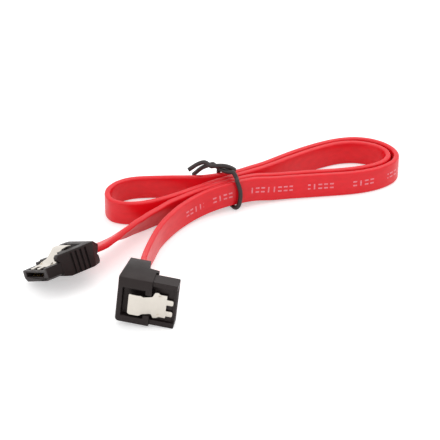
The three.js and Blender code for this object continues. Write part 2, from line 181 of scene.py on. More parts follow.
# Each plug's own frame has x from the mouth to the rear, y across and z towards the latch.
STRAIGHT_FRAME = Matrix.Translation((-0.0527, -0.0326, 0.00349)) @ Euler(
    (math.radians(-25.0), 0.0, math.radians(40.0))).to_matrix().to_4x4()
ANGLED_FRAME = (
    Matrix.Translation((-0.0118, -0.047, 0.00705))
    @ Euler((0.0, math.radians(6.8), math.radians(-9.4))).to_matrix().to_4x4()
    @ Matrix(((-1, 0, 0, 0), (0, 0, -1, 0), (0, -1, 0, 0), (0, 0, 0, 1)))
)
# Where the cable's middle line leaves each plug's overmould, in the plug's own frame.
STRAIGHT_EXIT = (0.0193, 0.0, 0.00315)
ANGLED_EXIT = (0.0121, 0.0, -0.0066)

# The cable's way: x, y and the lower edge's lift in millimetres, the upper edge's lean in degrees.
ROUTE = (
    (-33.5, -13.5, 3.0, -56), (-30.5, -8.5, 1.9, -46), (-26.6, -2.6, 0.6, -34),
    (-21.2, 3.5, 0.1, -24), (-14.6, 8.9, 0.3, -10), (-6.4, 14.0, 0.8, 0),
    (-0.6, 16.9, 1.4, 2), (5.0, 19.7, 1.6, 1), (10.7, 22.5, 1.3, 2),
    (16.4, 24.4, 0.6, 1), (22.2, 25.9, 0.3, 0), (28.6, 27.3, 0.1, 0),
    (34.4, 28.2, 0.0, 0), (39.9, 29.1, 0.0, 0), (45.0, 30.4, 0.0, 0),
    (49.4, 32.2, 0.0, 0), (52.6, 34.6, 0.0, 0), (54.4, 37.7, 0.0, 0),
    (54.3, 41.3, 0.0, 0), (52.3, 44.5, 0.0, 0), (48.8, 46.8, 0.0, 0),
    (44.0, 48.0, 0.0, 0), (38.6, 47.2, 0.0, 0), (33.0, 44.5, 0.0, 0),
    (27.7, 40.9, 0.1, 0), (22.6, 36.8, 0.3, 0), (18.3, 33.0, 0.5, -1),
    (14.0, 29.1, 0.8, -2), (9.5, 25.3, 1.3, -3), (5.0, 22.3, 1.6, -1),
    (-0.7, 19.2, 1.4, -1), (-6.5, 16.4, 0.8, 2), (-12.4, 13.0, 0.4, 4),
    (-16.8, 10.5, 0.2, 5), (-21.0, 8.7, 0.0, 6), (-25.8, 7.2, 0.0, 6),
    (-30.3, 7.2, 0.0, 5), (-33.6, 8.9, 0.0, 2), (-35.2, 12.1, 0.0, 0),
    (-35.2, 15.8, 0.0, -1), (-33.6, 19.2, 0.0, -4), (-31.1, 21.6, 0.0, -6),
    (-27.8, 23.1, 0.0, -7), (-23.7, 23.7, 0.0, -7), (-19.2, 23.7, 0.1, -5),
    (-14.6, 23.4, 0.3, -2), (-10.3, 23.0, 0.5, 0), (-5.3, 22.6, 0.8, 2),
    (-0.2, 22.8, 1.4, 3), (5.0, 24.6, 1.6, 1), (9.5, 27.9, 1.3, 2),
    (14.0, 31.8, 0.8, 1), (18.3, 35.9, 0.5, 0), (22.7, 39.8, 0.3, 0),
    (27.8, 43.8, 0.1, 0), (33.1, 47.2, 0.0, 0), (38.7, 49.7, 0.0, 0),
    (44.4, 50.7, 0.0, 0), (49.7, 49.6, 0.0, 0), (53.9, 46.7, 0.0, 0),
    (56.4, 43.1, 0.0, 0), (57.3, 39.3, 0.0, 0), (56.3, 35.3, 0.0, 0),
    (53.8, 32.2, 0.0, 0), (50.3, 29.7, 0.0, 0), (46.0, 27.8, 0.0, 0),
    (40.9, 26.5, 0.0, 0), (34.3, 25.5, 0.0, -1), (28.5, 24.5, 0.1, -2),
    (22.2, 23.3, 0.3, -2), (16.4, 21.8, 0.6, -3), (10.7, 20.1, 1.3, -3),
    (5.0, 17.4, 1.6, -1), (-0.7, 14.5, 1.4, -2), (-6.3, 10.9, 0.8, -1),
    (-11.8, 5.1, 0.4, 0), (-15.7, -1.3, 0.3, 2), (-18.7, -8.1, 0.2, 4),
    (-20.4, -15.5, 0.6, 3), (-21.8, -23.9, 1.7, 5), (-22.4, -30.9, 3.0, 6),
)
# The leans at the two plugs, and how far the cable runs straight out of each plug.
FIRST_LEAN = -65.0
LAST_LEAN = 6.8
STRAIGHT_RUN = 3 * MM
# How far the cable's ends are held inside the two overmoulds.
HELD_STRAIGHT = 2 * MM
HELD_ANGLED = 5 * MM
# Steps between two points of the way, and the rise of the crown on the wide faces.
ROUTE_STEPS = 5
CROWN = 0.02 * MM
# Where the middle of the printed face lies, as a share of the way round the section.
FACE_MIDDLE = 0.25

# Where the groups of printed dashes begin and end, and the length of one cell of the print, all in
# millimetres along the cable, and how much of the ink is left.
PRINTED = (
    (338.5, 348.4), (353.6, 361.2), (366.0, 375.4), (380.4, 395.3), (400.2, 408.2), (411.8, 419.6))
PRINT_CELL = 1.9
PRINT_STRENGTH = 0.62

# The tie's loop round the bundle: its middle on the table, its turn in degrees, half its size
# across and up, and the radius of its corners.
LOOP_PLACE = (2.1 * MM, 19.8 * MM)
LOOP_TURN = 28.0
LOOP_ACROSS = 5.525 * MM
LOOP_UP = 5.1 * MM
LOOP_CORNER = 1.6 * MM
# The twist's two ends and the loose ends, in millimetres, with heights from the loop's top.
TWIST_END = (-3.6, 3.4, 2.4)
TWIST_ROOT = (1.3, -1.8, 1.6)
FIRST_TAIL = ((-9.8, 7.6, 0.3), (-7.0, 6.4, 2.3), (-5.2, 5.4, 2.9))
SECOND_TAIL = ((-4.6, 5.0, 1.7), (-5.6, 6.8, 0.3), (-6.3, 8.8, -1.8), (-6.8, 10.0, -3.2))
# How high the loop's foot runs, and how far each twisted wire is from the twist's middle, in wire
# radii.
LOOP_LIFT = 1.05
TWIST_SPLIT = 1.15
# The front strand's bow in millimetres: at its foot, by its rise and by the square of its rise.
BOW = (0.4, 2.2, -1.3)
TWIST_STEPS = 24
WIRE_STEPS = 4
WIRE_SIDES = 12

# Limits that tell the corners of bodies and overmoulds apart, in millimetres in the plug's frame:
# behind what stands out of the overmould, over the underside, inside the sides, and a tolerance.
FRONT_PART = 5.1
UNDERSIDE = 0.05
SIDE = 7.05
NEAR = 0.02

# Both sheet springs, in their plug's own frame: the middle line's place across, the plate's height,
# the front end of the fingers, the front edge of the plate, and each finger's place and width.
LATCH_SHIFT = 0.6 * MM
LATCH_BED = 3.85 * MM
LATCH_START = 0.8 * MM
FINGER_ROOT = 2.7 * MM
FINGERS = ((-1.5 * MM, 1.7 * MM), (2.2 * MM, 1.7 * MM))
# Each spring's plug, the tab's rise over the plate and the tab's end, in millimetres.
SPRINGS = (("straight", STRAIGHT_FRAME, 3.4, 12.6), ("angled", ANGLED_FRAME, 2.0, 13.2))
# The tab's half width and corner radius, the distance between two stations, and how far the corners
# of the sheet's side view and of its outline are rounded, in millimetres.
TAB_HALF = 3.3
TAB_CORNER = 0.5
STATION_STEP = 0.2
BEND_REACH = 0.35
OUTLINE_REACH = 0.1
# The length that the sheet's map takes as one, and two tolerances for picking its corners.
SHEET_MAP = 20 * MM
TOUCH = 0.01 * MM
HAIR = 0.001 * MM
# Each barb: its length, height, place along the plug and distance from the middle line.
BARB_LENGTH = 1.5 * MM
BARB_HEIGHT = 0.75 * MM
BARB_PLACE = 4.35 * MM
BARB_APART = 3.1 * MM

# The camera's place and its turn up from looking straight down, in degrees.
CAMERA_PLACE = (-0.0002, -0.4233, 0.25)
CAMERA_TURN = 60.0
TABLE_SIZE = 6.0
TABLE_LEVEL = -0.0001


# ---------------------------------------------------------------- materials

class Value:
    """An output of a material's node that Python's operators can work on."""

    def __init__(self, shade, socket):
        self.shade = shade
        self.socket = socket

    def __add__(self, other):
        return self.shade.math("ADD", self, other)

    def __sub__(self, other):
        return self.shade.math("SUBTRACT", self, other)

    def __mul__(self, other):
        return self.shade.math("MULTIPLY", self, other)

    def __truediv__(self, other):
        return self.shade.math("DIVIDE", self, other)

    def __lt__(self, other):
        return self.shade.math("LESS_THAN", self, other)

    def __gt__(self, other):
        return self.shade.math("GREATER_THAN", self, other)

    def floor(self):
        return self.shade.math("FLOOR", self)

    def fract(self):
        return self.shade.math("FRACT", self)

    def size(self):
        return self.shade.math("ABSOLUTE", self)

    def within(self, low, high):
        return (self > low) * (self < high)


class Shade:
    """A material under construction."""

    def __init__(self, name):
        self.material = bpy.data.materials.new(name)
        self.material.use_nodes = True
        self.tree = self.material.node_tree
        self.tree.nodes.clear()

    def node(self, kind, settings=None, inputs=None, output=0):
        """Adds one node: its settings first, then the values or links of its sockets."""
        made = self.tree.nodes.new(kind)
        for key, value in (settings or {}).items():
            if key == "stops":
                ramp = made.color_ramp
                while len(ramp.elements) < len(value):
                    ramp.elements.new(0.5)
                for element, (position, colour) in zip(ramp.elements, value):
                    element.position = position
                    element.color = colour
            else:
                setattr(made, key, value)
        for key, value in (inputs or {}).items():
            if isinstance(value, Value):
                self.tree.links.new(value.socket, made.inputs[key])
            else:
                made.inputs[key].default_value = value
        return Value(self, made.outputs[output]) if made.outputs else made

    def math(self, operation, first, second=None):
        inputs = {0: first} if second is None else {0: first, 1: second}
        return self.node("ShaderNodeMath", {"operation": operation}, inputs)

    def parts(self, vector):
        split = self.node("ShaderNodeSeparateXYZ", None, {0: vector})
        return [Value(self, socket) for socket in split.socket.node.outputs]

    def vector(self, x, y, z):
        return self.node("ShaderNodeCombineXYZ", None, {0: x, 1: y, 2: z})

    def mix(self, factor, first, second):
        """A colour between two colours."""
        return self.node(
            "ShaderNodeMix", {"data_type": "RGBA"}, {0: factor, 6: first, 7: second}, 2)

    def noise(self, place, scale, detail=3.0, roughness=0.5):
        return self.node(
            "ShaderNodeTexNoise", None,
            {"Vector": place, "Scale": scale, "Detail": detail, "Roughness": roughness})

    def spread(self, value, low, high, to_low=0.0, to_high=1.0):
        """Stretches a value's range from low..high to another one."""
        return self.node(
            "ShaderNodeMapRange", None, {0: value, 1: low, 2: high, 3: to_low, 4: to_high})

    def object_place(self):
        return self.node("ShaderNodeTexCoord", output="Object")

    def own_map(self, name):
        return self.node("ShaderNodeUVMap", {"uv_map": name})

    def bump(self, height, distance, strength=1.0):
        return self.node(
            "ShaderNodeBump", None, {"Height": height, "Distance": distance, "Strength": strength})

    def surface(self, **inputs):
        """Ends the material in a Principled surface."""
        named = {key.replace("_", " "): value for key, value in inputs.items()}
        body = self.node("ShaderNodeBsdfPrincipled", None, named)
        self.node("ShaderNodeOutputMaterial", None, {"Surface": body})
        return self.material


def srgb(red, green, blue):
    """A screen colour, 0 to 255, as a linear one."""
    return tuple(
        (c / 255 / 12.92) if c / 255 <= 0.04045 else ((c / 255 + 0.055) / 1.055) ** 2.4
        for c in (red, green, blue)
    ) + (1.0,)


def jacket_material(settings, length, girth):
    """Soft PVC: faint lines along its length, a little mottling, and a row of dashes."""
    shade = Shade("red_pvc_jacket")
    along, round_about, _ = shade.parts(shade.own_map("Run"))
    run = along * (length / MM) - HELD_STRAIGHT / MM
    height = (round_about - FACE_MIDDLE) * (girth / MM)
    lines = shade.noise(shade.vector(run * 0.03, height * 2.4, 0.0), 1.0, 4.0)
    mottling = shade.noise(shade.vector(run * 0.35, height * 0.6, 3.0), 1.0, 3.0)
    grain = shade.noise(shade.object_place(), 2600.0, 3.0)

    # One cell of the print holds an upright stroke or two dashes, one above the other.
    cell = (run / PRINT_CELL).floor()
    across_cell = (run / PRINT_CELL).fract()
    kind = shade.node("ShaderNodeTexWhiteNoise", {"noise_dimensions": "1D"}, {"W": cell})
    stroke = across_cell.within(0.34, 0.58) * (height.size() < 0.95)
    dashes = across_cell.within(0.14, 0.8) * height.size().within(0.42, 0.92)
    mark = shade.node(
        "ShaderNodeMix", {"data_type": "FLOAT"}, {0: kind > 0.62, 2: dashes, 3: stroke}, 0)
    groups = None
    for start, end in PRINTED:
        group = run.within(start, end)
        groups = group if groups is None else groups + group
    wear = shade.noise(shade.vector(run * 2.2, height * 2.2, 9.0), 1.0)
    worn = shade.spread(wear, 0.3, 0.62, 0.45, 1.0)
    ink = mark * groups * worn * PRINT_STRENGTH

    red = tuple(settings.jacket_colour) + (1.0,)
    deep = tuple(c * 0.92 for c in settings.jacket_colour) + (1.0,)
    body = shade.mix(shade.spread(mottling, 0.35, 0.65), red, deep)
    colour = shade.mix(ink, body, tuple(settings.print_colour) + (1.0,))
    roughness = shade.spread(mottling + lines, 0.7, 1.3, 0.3, 0.4) + ink * 0.12
    relief = shade.bump(lines * 0.6 + grain * 0.25 + ink * 0.3, 0.03 * MM, 0.6)
    return shade.surface(
        Base_Color=colour, Roughness=roughness, Normal=relief,
        Specular_IOR_Level=0.42, Coat_Weight=0.1, Coat_Roughness=0.22)


def plastic_material(name, settings, grain_size, shine):
    """Black moulded plastic: a fine eroded grain, cloudy gloss and a trace of dust."""
    shade = Shade(name)
    place = shade.object_place()
    grain = shade.noise(place, 1.0 / (grain_size * MM), 4.0, 0.6)
    clouds = shade.noise(place, 260.0, 3.0)
    specks = shade.spread(shade.noise(place, 5200.0, 2.0), 0.72, 0.8)
    dark = tuple(settings.plastic_colour) + (1.0,)
    pale = tuple(c * 1.5 + 0.002 for c in settings.plastic_colour) + (1.0,)
    colour = shade.mix(shade.spread(clouds, 0.3, 0.75, 0.0, 0.45) + specks * 0.3, dark, pale)
    roughness = shade.spread(clouds, 0.3, 0.7, shine - 0.05, shine + 0.07) + specks * 0.1
    relief = shade.bump(grain, 0.02 * MM, 0.55)
    return shade.surface(
        Base_Color=colour, Roughness=roughness, Normal=relief, Specular_IOR_Level=0.4,
        Specular_Tint=(1.0, 0.86, 0.84, 1.0))


def steel_material(settings):
    """Rolled spring steel with a satin nickel finish: fine lines along the sheet."""
    shade = Shade("satin_spring_steel")
    along, across, _ = shade.parts(shade.own_map("Sheet"))
    lines = shade.noise(shade.vector(along * 20.0, across * 900.0, 0.0), 1.0, 4.0, 0.6)
    clouds = shade.noise(shade.object_place(), 420.0, 3.0)
    bright = tuple(settings.steel_colour) + (1.0,)
    dull = tuple(c * 0.9 for c in settings.steel_colour) + (1.0,)
    colour = shade.mix(shade.spread(clouds * 0.4 + lines * 0.6, 0.3, 0.8), bright, dull)
    roughness = shade.spread(lines, 0.3, 0.7, 0.26, 0.38)
    relief = shade.bump(lines, 0.01 * MM, 0.35)
    return shade.surface(Base_Color=colour, Roughness=roughness, Normal=relief, Metallic=1.0)


def gilt_material(settings):
    """Thin gold over nickel, a little uneven."""
    shade = Shade("gilt_contacts")
    clouds = shade.noise(shade.object_place(), 900.0, 4.0)
    bright = tuple(settings.gilt_colour) + (1.0,)
    thin = tuple(c * f for c, f in zip(settings.gilt_colour, (0.85, 0.9, 1.15))) + (1.0,)
    colour = shade.mix(shade.spread(clouds, 0.4, 0.7), bright, thin)
    roughness = shade.spread(clouds, 0.3, 0.7, 0.24, 0.4)
    relief = shade.bump(clouds, 0.01 * MM, 0.3)
    return shade.surface(Base_Color=colour, Roughness=roughness, Normal=relief, Metallic=1.0)


def tie_material(settings):
    """Soft plastic over the tie's wire, with creases where it was twisted."""
    shade = Shade("tie_coating")
    place = shade.object_place()
    creases = shade.noise(place, 900.0, 4.0, 0.6)
    clouds = shade.noise(place, 300.0, 2.0)
    dark = tuple(settings.coat_colour) + (1.0,)
    pale = tuple(c * 1.8 for c in settings.coat_colour) + (1.0,)
    colour = shade.mix(shade.spread(creases * 0.5 + clouds * 0.5, 0.35, 0.7), dark, pale)
    roughness = shade.spread(clouds, 0.3, 0.7, 0.38, 0.52)
    relief = shade.bump(creases, 0.04 * MM, 0.7)
    return shade.surface(Base_Color=colour, Roughness=roughness, Normal=relief)


def floor_material(settings):
    """A matt white table whose lit parts show as plain white, with the object's shadow kept."""
    shade = Shade("white_table")
    camera = shade.node("ShaderNodeLightPath", output="Is Camera Ray")
    mirrored = shade.node("ShaderNodeLightPath", output="Is Glossy Ray")
    seen = shade.math("MAXIMUM", camera, mirrored * 0.45)
    speckle = shade.noise(shade.object_place(), 40.0, 2.0)
    colour = shade.mix(
        shade.spread(speckle, 0.3, 0.7), (0.84, 0.84, 0.84, 1), (0.86, 0.86, 0.86, 1))
    matt = shade.node("ShaderNodeBsdfDiffuse", None, {"Color": colour})
    glow = shade.node(
        "ShaderNodeEmission", None,
        {"Color": (1, 1, 1, 1), "Strength": seen * settings.floor_lift})
    both = shade.node("ShaderNodeAddShader", None, {0: matt, 1: glow})
    shade.node("ShaderNodeOutputMaterial", None, {"Surface": both})
    return shade.material


# ---------------------------------------------------------------- curves

def smooth_line(points, leans, steps):
    """A centripetal curve through the points, with the lean eased between them."""
    line = []
    for i in range(len(points) - 1):
        p1, p2 = points[i], points[i + 1]
        p0 = points[i - 1] if i > 0 else 2 * p1 - p2
        p3 = points[i + 2] if i + 2 < len(points) else 2 * p2 - p1
        d0, d1, d2 = (math.sqrt((b - a).length) for a, b in ((p0, p1), (p1, p2), (p2, p3)))
        t1 = ((p1 - p0) / d0 - (p2 - p0) / (d0 + d1) + (p2 - p1) / d1) * d1
        t2 = ((p2 - p1) / d1 - (p3 - p1) / (d1 + d2) + (p3 - p2) / d2) * d1
        last = i == len(points) - 2
        for k in range(steps + 1 if last else steps):
            t = k / steps
            place = p1 + t1 * t + (-3 * p1 + 3 * p2 - 2 * t1 - t2) * t ** 2
            place += (2 * p1 - 2 * p2 + t1 + t2) * t ** 3
            eased = t * t * (3 - 2 * t)
            line.append((place, leans[i] + (leans[i + 1] - leans[i]) * eased))
    return line


def tangents(points):
    found = []
    for i in range(len(points)):
        before = points[max(i - 1, 0)]
        after = points[min(i + 1, len(points) - 1)]
        found.append((after - before).normalized())
    return found


def run_lengths(points):
    lengths = [0.0]
    for a, b in zip(points, points[1:]):
        lengths.append(lengths[-1] + (b - a).length)
    return lengths


def sweep(name, rings, uv_name, along, round_about):
    """A closed tube through rings of corners, with a map of its run and its girth."""
    count = len(rings[0])
    mesh = bmesh.new()
    rows = [[mesh.verts.new(corner) for corner in ring] for ring in rings]
    uv = mesh.loops.layers.uv.new(uv_name)
    for i in range(len(rows) - 1):
        for k in range(count):
            n = (k + 1) % count
            face = mesh.faces.new((rows[i][k], rows[i + 1][k], rows[i + 1][n], rows[i][n]))
            spots = ((i, k), (i + 1, k), (i + 1, k + 1), (i, k + 1))
            for loop, (a, b) in zip(face.loops, spots):
                loop[uv].uv = (along[a], round_about[b])
    for row, at in ((rows[0], 0), (rows[-1], -1)):
        face = mesh.faces.new(row)
        for loop in face.loops:
            loop[uv].uv = (along[at], FACE_MIDDLE)
    data = bpy.data.meshes.new(name)
    mesh.to_mesh(data)
    mesh.free()
    piece = bpy.data.objects.new(name, data)
    bpy.context.collection.objects.link(piece)
    outward(piece)
    smooth(piece, 40.0)
    return piece


# ---------------------------------------------------------------- work in edit mode

def pick(piece):
    bpy.ops.object.select_all(action="DESELECT")
    piece.select_set(True)
    bpy.context.view_layer.objects.active = piece


def outward(piece):
    pick(piece)
    bpy.ops.object.mode_set(mode="EDIT")
    bpy.ops.mesh.select_all(action="SELECT")
    bpy.ops.mesh.normals_make_consistent(inside=False)
    bpy.ops.object.mode_set(mode="OBJECT")


def smooth(piece, angle):
    pick(piece)
    bpy.ops.object.shade_smooth_by_angle(angle=math.radians(angle))


def select(piece, kind, test):
    """In edit mode, selects just the corners, edges or faces that pass the test; says how many."""
    bpy.ops.mesh.select_mode(type={"verts": "VERT", "edges": "EDGE", "faces": "FACE"}[kind])
    bpy.ops.mesh.select_all(action="DESELECT")
    mesh = bmesh.from_edit_mesh(piece.data)
    chosen = 0
    for element in getattr(mesh, kind):
        if test(element):
            element.select_set(True)
            chosen += 1
    mesh.select_flush_mode()
    bmesh.update_edit_mesh(piece.data)
    return chosen


def is_crease(edge, degrees=25.0):
    return len(edge.link_faces) == 2 and edge.calc_face_angle(0.0) > math.radians(degrees)


def round_edges(piece, width, segments, test):
    """Bevels the creases whose corners pass the test, in the plug's own frame."""
    if select(piece, "edges", lambda e: is_crease(e) and all(test(v.co / MM) for v in e.verts)):
        bpy.ops.mesh.bevel(
            offset=width * MM, segments=segments, profile=0.5, clamp_overlap=True, affect="EDGES")


def shift(piece, step, test):
    """Moves the corners that pass the test, in the plug's own frame, by a step in millimetres."""
    if not select(piece, "verts", lambda v: test(v.co / MM)):
        raise RuntimeError(f"no corners of {piece.name} to move")
    bpy.ops.transform.translate(value=tuple(c * MM for c in step))


def shell_from(node, name, plug):
    """A merged copy of a solid as a new piece, in its plug's own frame, left in edit mode."""
    data = frame["nodes"][node].data.copy()
    data.name = name
    data.materials.clear()
    data.transform(plug.inverted())
    piece = bpy.data.objects.new(name, data)
    bpy.context.collection.objects.link(piece)
    pick(piece)
    bpy.ops.object.mode_set(mode="EDIT")
    bpy.ops.mesh.select_all(action="SELECT")
    bpy.ops.mesh.remove_doubles(threshold=0.002 * MM)
    bpy.ops.mesh.dissolve_limited(angle_limit=math.radians(0.5))
    return piece


def settle(piece, plug, angle=32.0):
    """Leaves edit mode and puts the piece at its place on the table."""
    bpy.ops.object.mode_set(mode="OBJECT")
    piece.data.transform(plug)
    smooth(piece, angle)


def finish_piece(piece, material, slot, body, *nodes):
    piece.data.materials.clear()
    piece.data.materials.append(material)
    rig.slot(piece, slot)
    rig.ride(piece, body)
    if nodes:
        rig.replaces(piece, *nodes)


def apply_all(piece):
    pick(piece)
    for modifier in list(piece.modifiers):
        bpy.ops.object.modifier_apply(modifier=modifier.name)


# ---------------------------------------------------------------- settings

def length_setting(name, description, default, low):
    return bpy.props.FloatProperty(
        name=name, description=description, default=default, min=low, subtype="DISTANCE",
        unit="LENGTH")


def colour_setting(name, description, red, green, blue):
    return bpy.props.FloatVectorProperty(
        name=name, description=description, default=srgb(red, green, blue)[:3], min=0.0, max=1.0,
        subtype="COLOR")


class CableSettings(bpy.types.PropertyGroup):
    width: length_setting("Width", "Width of the flat cable", 0.008, 0.001)
    thickness: length_setting("Thickness", "Thickness of the flat cable", 0.0018, 0.0005)
    edge_radius: length_setting("Edge radius", "Rounding of the cable's long edges", 0.0006, 0.0001)
    jacket_colour: colour_setting("Jacket colour", "Colour of the jacket", 237, 17, 33)
    print_colour: colour_setting("Print colour", "Colour of the printed dashes", 250, 186, 200)


class TieSettings(bpy.types.PropertyGroup):
    wire: length_setting("Wire", "Diameter of the coated wire", 0.0014, 0.0003)
    turns: bpy.props.FloatProperty(
        name="Turns", description="Turns in the twist", default=0.5, min=0.5, max=5.5)
    coat_colour: colour_setting("Coat colour", "Colour of the wire's coat", 38, 30, 29)


class PlugSettings(bpy.types.PropertyGroup):
    plastic_colour: colour_setting("Plastic colour", "Colour of the moulded plastic", 22, 16, 16)
    gilt_colour: colour_setting("Contact colour", "Colour of the contacts", 222, 186, 112)


class LatchSettings(bpy.types.PropertyGroup):
    sheet: length_setting("Sheet", "Thickness of the sheet spring", 0.0003, 0.0001)
    steel_colour: colour_setting("Steel colour", "Colour of the sheet spring", 232, 225, 215)


class StageSettings(bpy.types.PropertyGroup):
    lens: bpy.props.FloatProperty(
        name="Lens", description="Focal length on a 36 mm wide picture", default=130.9, min=10.0)
    key_power: bpy.props.FloatProperty(
        name="Key light", description="Power of the large soft lamp",
        default=1.5, min=0.0, unit="POWER")
    fill_power: bpy.props.FloatProperty(
        name="Fill light", description="Power of the weak lamp at the front left",
        default=0.35, min=0.0, unit="POWER")
    sky: bpy.props.FloatProperty(
        name="Sky", description="Strength of the light from all round", default=0.84, min=0.0)
    floor_lift: bpy.props.FloatProperty(
        name="Table lift", description="Light added to the table where it is seen or mirrored",
        default=0.45, min=0.0)


# ---------------------------------------------------------------- operators

def soft_lamp(name, location, aim, size, power):
    """Adds a round soft lamp that faces a point."""
    bpy.ops.object.light_add(type="AREA", location=location)
    lamp = bpy.context.object
    lamp.name = name
    lamp.data.shape = "DISK"
    lamp.data.size = size
    lamp.data.energy = power
    way = Vector(aim) - lamp.location
    lamp.rotation_euler = way.to_track_quat("-Z", "Y").to_euler()


def studio_world(strength):
    """An even white surrounding with this strength, which is 1 where it is seen or mirrored."""
    world = bpy.data.worlds.new("studio")
    world.use_nodes = True
    nodes = world.node_tree.nodes
    links = world.node_tree.links
    nodes.clear()
    path = nodes.new("ShaderNodeLightPath")
    seen = nodes.new("ShaderNodeMath")
    seen.operation = "MAXIMUM"
    links.new(path.outputs["Is Camera Ray"], seen.inputs[0])
    links.new(path.outputs["Is Glossy Ray"], seen.inputs[1])
    mirrored = nodes.new("ShaderNodeMath")
    mirrored.operation = "MAXIMUM"
    links.new(seen.outputs[0], mirrored.inputs[0])
    links.new(path.outputs["Is Transmission Ray"], mirrored.inputs[1])
    level = nodes.new("ShaderNodeMapRange")
    level.inputs["To Min"].default_value = strength
    level.inputs["To Max"].default_value = 1.0
    links.new(mirrored.outputs[0], level.inputs["Value"])
    sky = nodes.new("ShaderNodeBackground")
    sky.inputs["Color"].default_value = (1.0, 1.0, 1.0, 1.0)
    links.new(level.outputs[0], sky.inputs["Strength"])
    output = nodes.new("ShaderNodeOutputWorld")
    links.new(sky.outputs[0], output.inputs["Surface"])
    return world


class DATACABLE_OT_stage(bpy.types.Operator):
    """Adds the camera, the white table and the soft studio light"""

    bl_idname = "datacable.stage"
    bl_label = "Stage"

    def execute(self, context):
        settings = context.scene.datacable_stage
        bpy.ops.object.camera_add(
            location=CAMERA_PLACE, rotation=(math.radians(CAMERA_TURN), 0.0, 0.0))
        camera = context.object
        camera.name = "camera"
        camera.data.lens = settings.lens
        camera.data.sensor_width = 36.0
        camera.data.clip_start = 0.01
        camera.data.clip_end = 20.0
        context.scene.camera = camera

        bpy.ops.mesh.primitive_plane_add(size=TABLE_SIZE, location=(0.0, 0.0, TABLE_LEVEL))
        table = context.object
        table.name = "table"
        bpy.ops.object.transform_apply(location=True, rotation=True, scale=True)
        table.data.materials.append(floor_material(settings))
        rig.stage(table)

        soft_lamp(
            "key_light", location=(0.22, 0.25, 0.62), aim=(0.0, 0.0, 0.0), size=0.75,
            power=settings.key_power)
        soft_lamp(
            "fill_light", location=(-0.42, -0.3, 0.3), aim=(-0.02, 0.0, 0.0), size=0.5,
            power=settings.fill_power)
        context.scene.world = studio_world(settings.sky)
        context.scene.view_settings.view_transform = "Standard"
        return {"FINISHED"}


def cable_line(settings):
    """The cable's middle line with its leans, from the straight plug to the angled one."""
    first = STRAIGHT_FRAME @ Vector(STRAIGHT_EXIT)
    first_way = STRAIGHT_FRAME.to_3x3() @ Vector((1.0, 0.0, 0.0))
    last = ANGLED_FRAME @ Vector(ANGLED_EXIT)
    last_way = ANGLED_FRAME.to_3x3() @ Vector((0.0, 0.0, -1.0))
    points = [first, first + first_way * STRAIGHT_RUN]
    leans = [FIRST_LEAN, FIRST_LEAN]
    for x, y, lift, lean in ROUTE:
        angle = math.radians(lean)
        rise = (settings.width * math.cos(angle) + settings.thickness * abs(math.sin(angle))) / 2
        points.append(Vector((x * MM, y * MM, lift * MM + rise)))
        leans.append(lean)
    points += [last + last_way * STRAIGHT_RUN, last]
    leans += [LAST_LEAN, LAST_LEAN]
    held_first = (first - first_way * HELD_STRAIGHT, FIRST_LEAN)
    held_last = (last - last_way * HELD_ANGLED, LAST_LEAN)
    return [held_first] + smooth_line(points, leans, ROUTE_STEPS) + [held_last]


def cable_section(settings):
    """Corners of the section as (height, depth), with the girth up to each of them."""
    half = settings.width / 2
    side = settings.thickness / 2
    radius = settings.edge_radius
    corners = [(-half, 0.0)]
    for sign_h, sign_d, start in ((-1, -1, 180), (1, -1, 270), (1, 1, 0), (-1, 1, 90)):
        for k in range(5):
            angle = math.radians(start + k * 22.5)
            corners.append((
                sign_h * (half - radius) + radius * math.cos(angle),
                sign_d * (side - radius) + radius * math.sin(angle)))
        if (sign_h, sign_d) in ((-1, -1), (1, 1)):
            for k in (1, 2, 3):
                height = sign_h * (half - radius) * (1 - k / 2)
                crown = CROWN * (1 - abs(1 - k / 2))
                corners.append((height, sign_d * (side + crown)))
        if (sign_h, sign_d) == (1, -1):
            corners.append((half, 0.0))
    girth = [0.0]
    for a, b in zip(corners, corners[1:] + corners[:1]):
        girth.append(girth[-1] + math.dist(a, b))
    return corners, girth


class DATACABLE_OT_cable(bpy.types.Operator):
    """Makes the flat red cable along its way, a cord that carries the angled plug"""

    bl_idname = "datacable.cable"
    bl_label = "Cable"

    def execute(self, context):
        settings = context.scene.datacable_cable
        line = cable_line(settings)
        points = [place for place, _ in line]
        lengths = run_lengths(points)
        corners, girth = cable_section(settings)
        upright = Vector((0.0, 0.0, 1.0))
        rings = []
        ways = tangents(points)
        for (place, lean), way in zip(line, ways):
            left = upright.cross(way).normalized()
            edge = way.cross(left)
            angle = math.radians(lean)
            normal = edge * math.cos(angle) + left * math.sin(angle)
            across = way.cross(normal)
            rings.append([place + normal * h + across * d for h, d in corners])
        along = [s / lengths[-1] for s in lengths]
        round_about = [g / girth[-1] for g in girth]
        cable = sweep("flat_cable", rings, "Run", along, round_about)
        finish_piece(
            cable, jacket_material(settings, lengths[-1], girth[-1]), "jacket", "bundle", "cable")
        carried = [
            piece for piece in bpy.data.objects
            if piece.name.startswith("angled_") and piece.type == "MESH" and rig.alive(piece)
            and (piece.name not in frame["nodes"] or "contact" in piece.name)
        ]
        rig.cord(
            cable, exit=points[1], length=lengths[-1], diameter=settings.width, far_end="plug",
            stiffness="medium", lay="loose", path=points, with_pieces=carried)
        return {"FINISHED"}


def over_loop(spot):
    """A point given in millimetres, with its height from the top of the tie's loop."""
    a, b, c = spot
    return Vector((a * MM, b * MM, LOOP_UP + c * MM))


